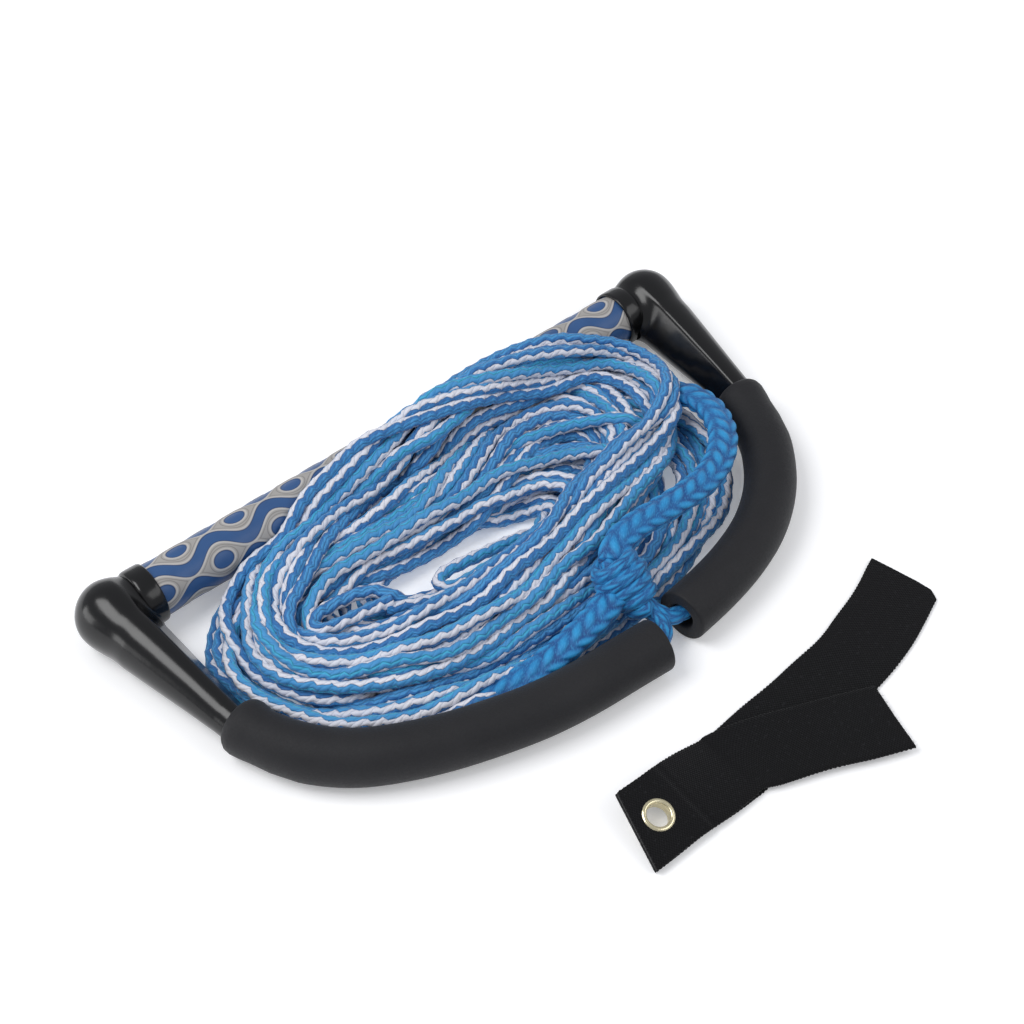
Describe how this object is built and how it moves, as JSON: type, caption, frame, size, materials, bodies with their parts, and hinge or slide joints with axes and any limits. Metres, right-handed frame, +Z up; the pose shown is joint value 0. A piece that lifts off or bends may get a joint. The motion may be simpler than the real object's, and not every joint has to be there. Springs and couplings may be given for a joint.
{
  "type": "tow rope handle",
  "caption": "Grip bar with a floating rope bridle, a coiled tow rope tied to its apex, and a loose webbing keeper strap with a grommet.",
  "frame": {"origin": "on the ground, under the middle of the whole set without the free tow rope", "axes": "+X along the grip bar, +Y from the bridle's apex to the grip bar, +Z up"},
  "size_m": [0.3758, 0.3136, 0.046],
  "materials": {
    "tube": "drawn tube",
    "grip": "matte moulded, grey with blue pattern",
    "cap": "glossy black",
    "blue_rope": "solid blue braid",
    "striped_rope": "braid striped white, blue and teal",
    "foam": "matte charcoal foam",
    "webbing": "black ribbed webbing",
    "hook": "black hook tape",
    "brass": "pale brass"
  },
  "bodies": {
    "handle": {"bar_tube": "tube", "grip_sleeve": "grip", "end_cap_left": "cap", "end_cap_right": "cap", "bridle_rope_core": "blue_rope", "leader_loop": "blue_rope", "coil_lower_turns": "striped_rope", "coil_upper_turns": "striped_rope", "boat_end_eye": "striped_rope"},
    "bridle": {"float_left": "foam", "float_right": "foam", "bridle_rope_left": "blue_rope", "bridle_rope_right": "blue_rope", "bridle_knot": "blue_rope"},
    "strap": {"strap_lower_layer": "webbing", "strap_top_base": "webbing", "grommet": "brass", "grommet_washer": "brass"},
    "strap_tail": {"strap_top_tail": "webbing", "hook_tape": "hook"}
  },
  "joints": [
    {"name": "bridle_fold", "type": "hinge", "parent": "handle", "child": "bridle", "pos_m": [0, 0.048, 0.0137], "axis": [-1, 0, 0], "range_deg": [0, 30]},
    {"name": "strap_lift", "type": "slide", "parent": "handle", "child": "strap", "axis": [0, 0, 1], "range_m": [0, 0.15]},
    {"name": "strap_tail_open", "type": "hinge", "parent": "strap", "child": "strap_tail", "pos_m": [0.0043, -0.1085, 0.0044], "axis": [0, -1, 0], "range_deg": [0, 75]}
  ]
}
